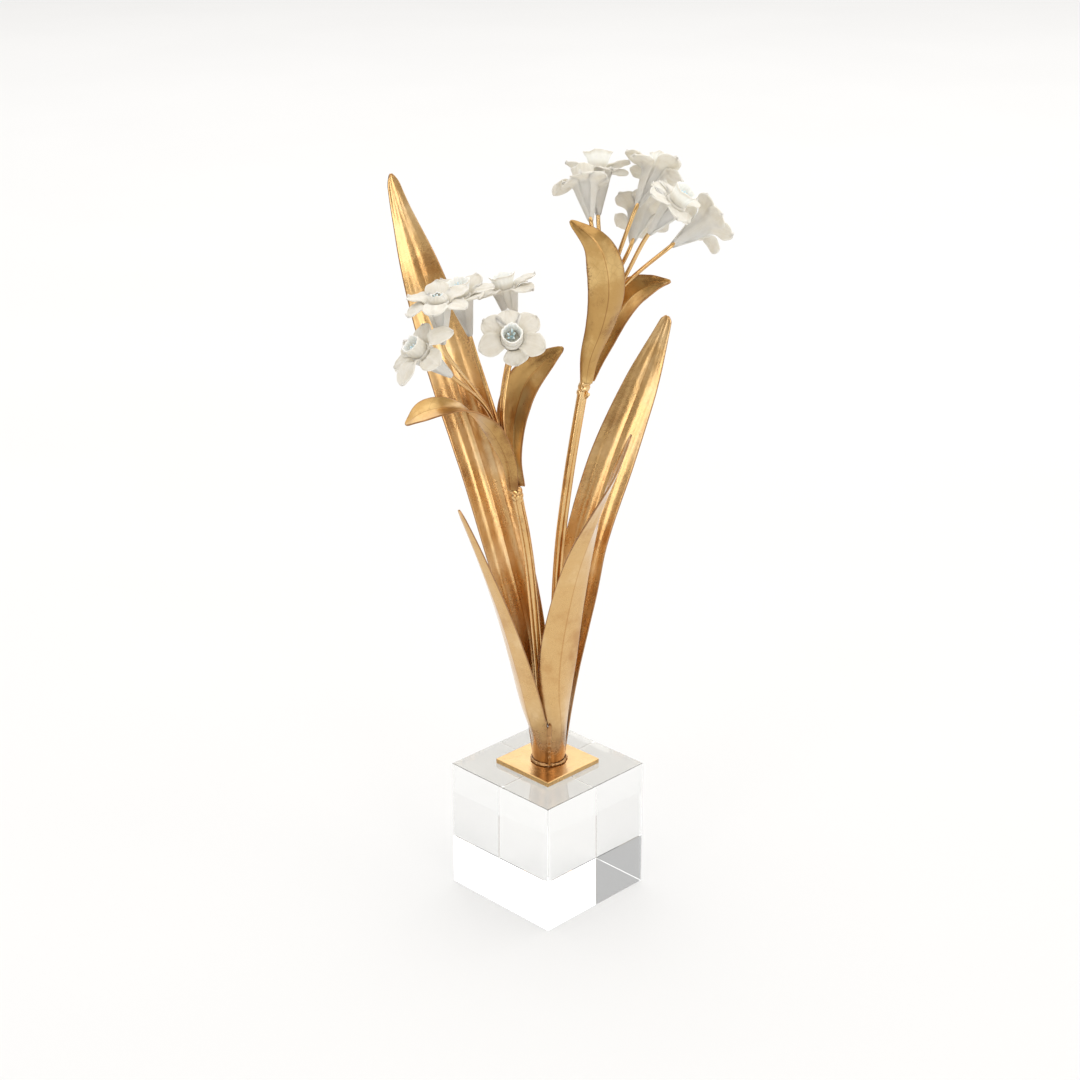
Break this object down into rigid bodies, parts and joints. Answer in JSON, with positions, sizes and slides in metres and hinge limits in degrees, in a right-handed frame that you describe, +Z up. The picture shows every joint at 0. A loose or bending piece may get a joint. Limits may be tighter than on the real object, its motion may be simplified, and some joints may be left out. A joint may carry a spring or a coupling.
{
  "type": "gilded narcissus flower ornament",
  "caption": "Tabletop ornament shaped as a paperwhite narcissus: gilded metal leaves, spathes and stems with white porcelain flower heads on a clear cube block.",
  "frame": {"origin": "centre of the clear block's square underside", "axes": "+Z up; X and Y square to the block's vertical faces; the plant's front looks towards +X -Y, over one vertical edge of the block"},
  "size_m": [0.1467, 0.1662, 0.4185],
  "materials": {
    "clear_glass": "clear, polished, with crisp edges",
    "gilded_metal": "gilded, satin, rubbed darker in the hollows",
    "pale_gilding": "gilded, brushed along the blade, with fine dark speckles",
    "white_porcelain": "unglazed, fine grained",
    "pale_blue_porcelain": "pale blue, half glossy"
  },
  "bodies": {
    "root": {"clear_block": "clear_glass", "mounting_plate": "gilded_metal", "foot_weld": "gilded_metal", "leaf_tall_left": "pale_gilding", "leaf_tall_right": "pale_gilding", "leaf_front_left": "pale_gilding", "leaf_front_right": "pale_gilding", "spathe_left_front": "pale_gilding", "spathe_left_back": "pale_gilding", "spathe_right_front": "pale_gilding", "spathe_right_back": "pale_gilding", "stem_left": "gilded_metal", "stem_right": "gilded_metal", "flower_left_1": "white_porcelain", "stamens_left_1": "pale_blue_porcelain", "flower_left_2": "white_porcelain", "stamens_left_2": "pale_blue_porcelain", "flower_left_3": "white_porcelain", "stamens_left_3": "pale_blue_porcelain", "flower_left_4": "white_porcelain", "stamens_left_4": "pale_blue_porcelain", "flower_left_5": "white_porcelain", "stamens_left_5": "pale_blue_porcelain", "flower_right_1": "white_porcelain", "stamens_right_1": "pale_blue_porcelain", "flower_right_2": "white_porcelain", "stamens_right_2": "pale_blue_porcelain", "flower_right_3": "white_porcelain", "stamens_right_3": "pale_blue_porcelain", "flower_right_4": "white_porcelain", "stamens_right_4": "pale_blue_porcelain", "flower_right_5": "white_porcelain", "stamens_right_5": "pale_blue_porcelain", "flower_right_6": "white_porcelain", "stamens_right_6": "pale_blue_porcelain"}
  },
  "joints": []
}
